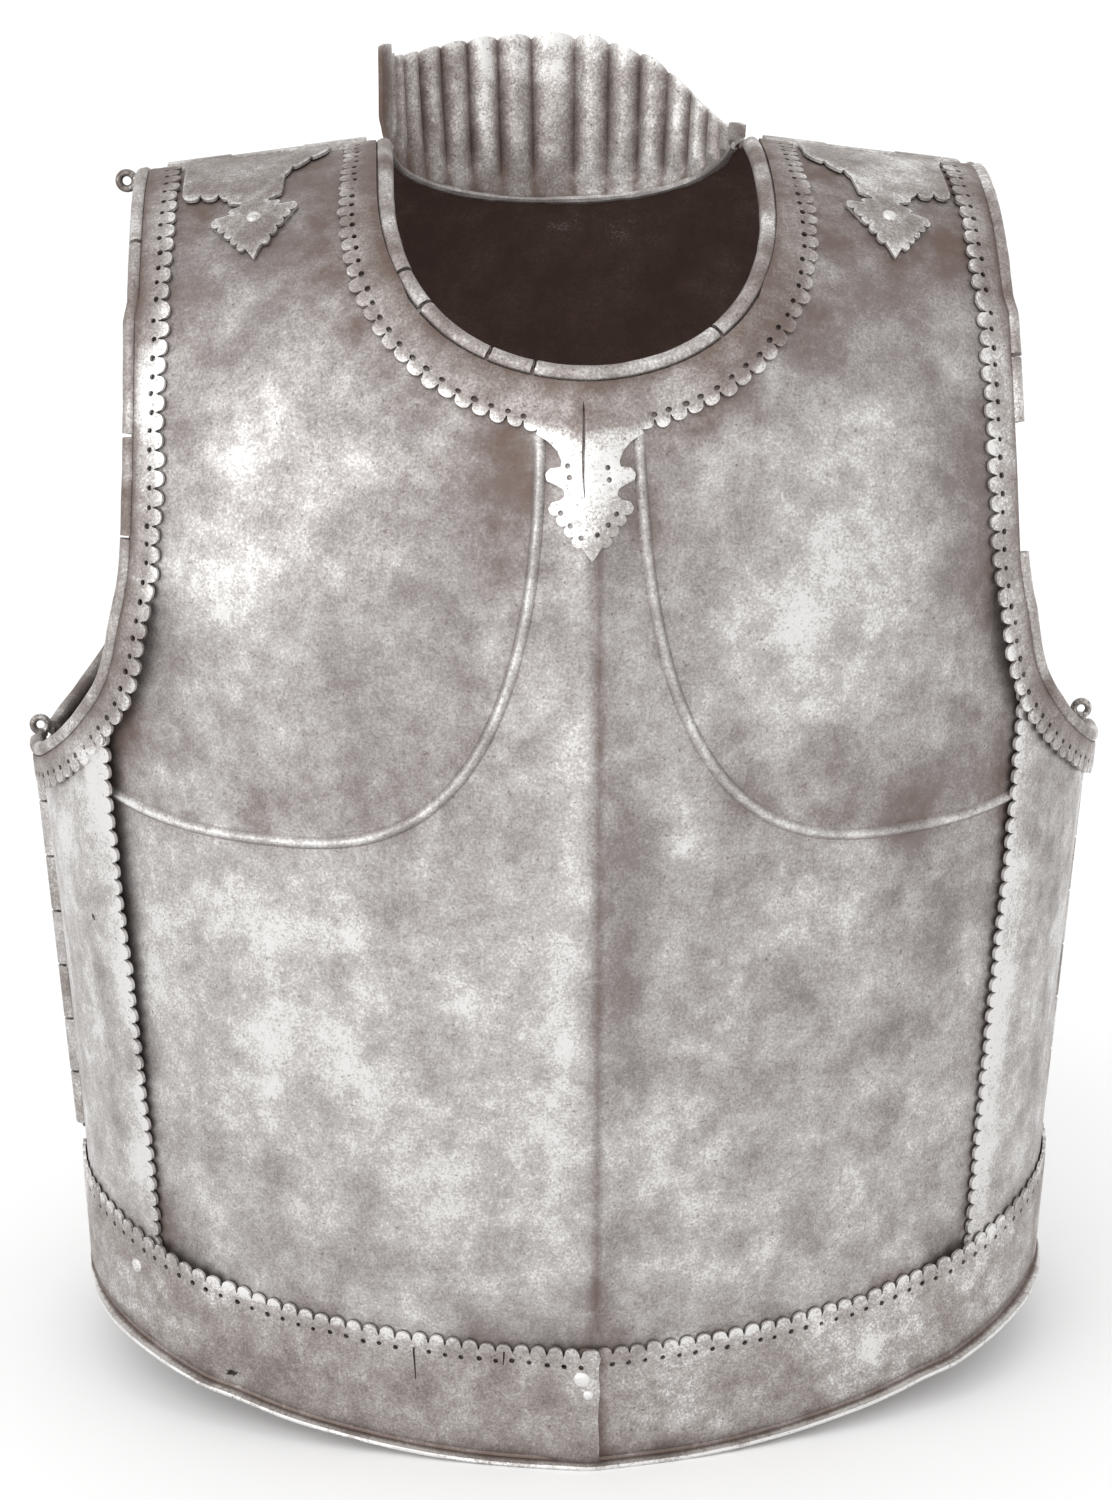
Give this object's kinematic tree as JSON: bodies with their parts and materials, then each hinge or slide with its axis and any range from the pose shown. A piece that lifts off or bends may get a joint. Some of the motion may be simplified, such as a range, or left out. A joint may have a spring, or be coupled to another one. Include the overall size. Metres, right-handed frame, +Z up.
{
  "type": "cuirass",
  "caption": "Steel cuirass: keeled breastplate with embossed pectorals, scalloped borders and side panels, pinned by hinges to a backplate with a tall fluted collar.",
  "frame": {"origin": "on the floor, under the middle of the overall width and depth", "axes": "+Z up, the front faces -Y, +X to the right as seen from the front"},
  "size_m": [0.4, 0.2576, 0.4854],
  "materials": {
    "plate": "aged, mottled, satin",
    "border": "aged, worn bright",
    "hinge": "aged, brown in the creases",
    "pin": "dark forged wire"
  },
  "bodies": {
    "back": {"back_plate": "plate", "collar": "border", "waist_band_back": "border", "arm_binding_back_left": "border", "arm_binding_back_right": "border", "shoulder_hinge_back_left": "hinge", "shoulder_hinge_back_right": "hinge", "side_hinge_back_left": "hinge", "side_hinge_back_right": "hinge", "shoulder_pin_left": "pin", "shoulder_pin_right": "pin", "side_pin_left": "pin", "side_pin_right": "pin"},
    "breast": {"breast_plate": "plate", "side_panel_left": "plate", "side_panel_right": "plate", "neck_band": "border", "neck_binding": "border", "arm_band_left": "border", "arm_band_right": "border", "arm_binding_front_left": "border", "arm_binding_front_right": "border", "waist_band_front": "border", "shoulder_hinge_front_left": "hinge", "shoulder_hinge_front_right": "hinge"}
  },
  "joints": [
    {"name": "breast_hinge", "type": "hinge", "parent": "back", "child": "breast", "pos_m": [-0.19063, 0.0088, 0.156], "axis": [0.0629, 0, -0.998], "range_deg": [0, 100]}
  ]
}
